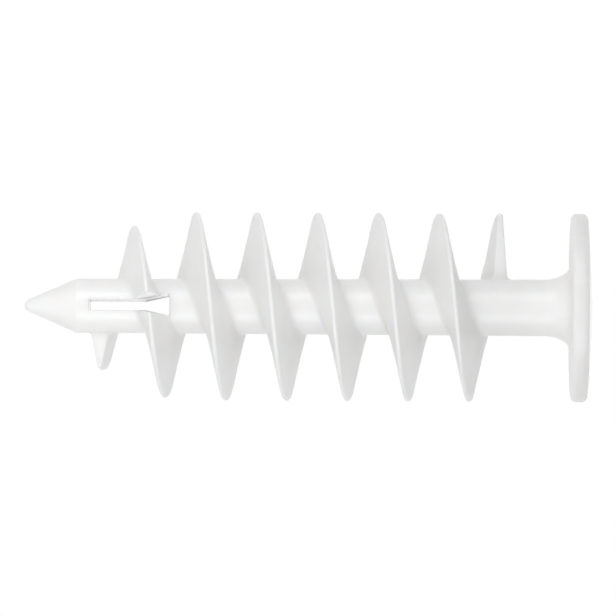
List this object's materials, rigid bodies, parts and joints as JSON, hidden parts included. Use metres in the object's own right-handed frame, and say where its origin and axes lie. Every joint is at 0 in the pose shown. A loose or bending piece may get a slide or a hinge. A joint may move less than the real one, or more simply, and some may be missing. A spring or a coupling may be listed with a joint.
{
  "type": "polystyrene wall plug",
  "caption": "Screw-in plastic plug for foam insulation: pointed shank with a deep spiral flight, a slotted expanding tip and a round flat head.",
  "frame": {"origin": "middle of the head's outer face, which the plug stands on", "axes": "+Z along the shank from the head to the point; the slot goes through along Y"},
  "size_m": [0.0282, 0.0282, 0.085],
  "materials": {
    "white_plastic": "satin moulded white, slightly translucent"
  },
  "bodies": {
    "root": {"wall_plug": "white_plastic"}
  },
  "joints": []
}
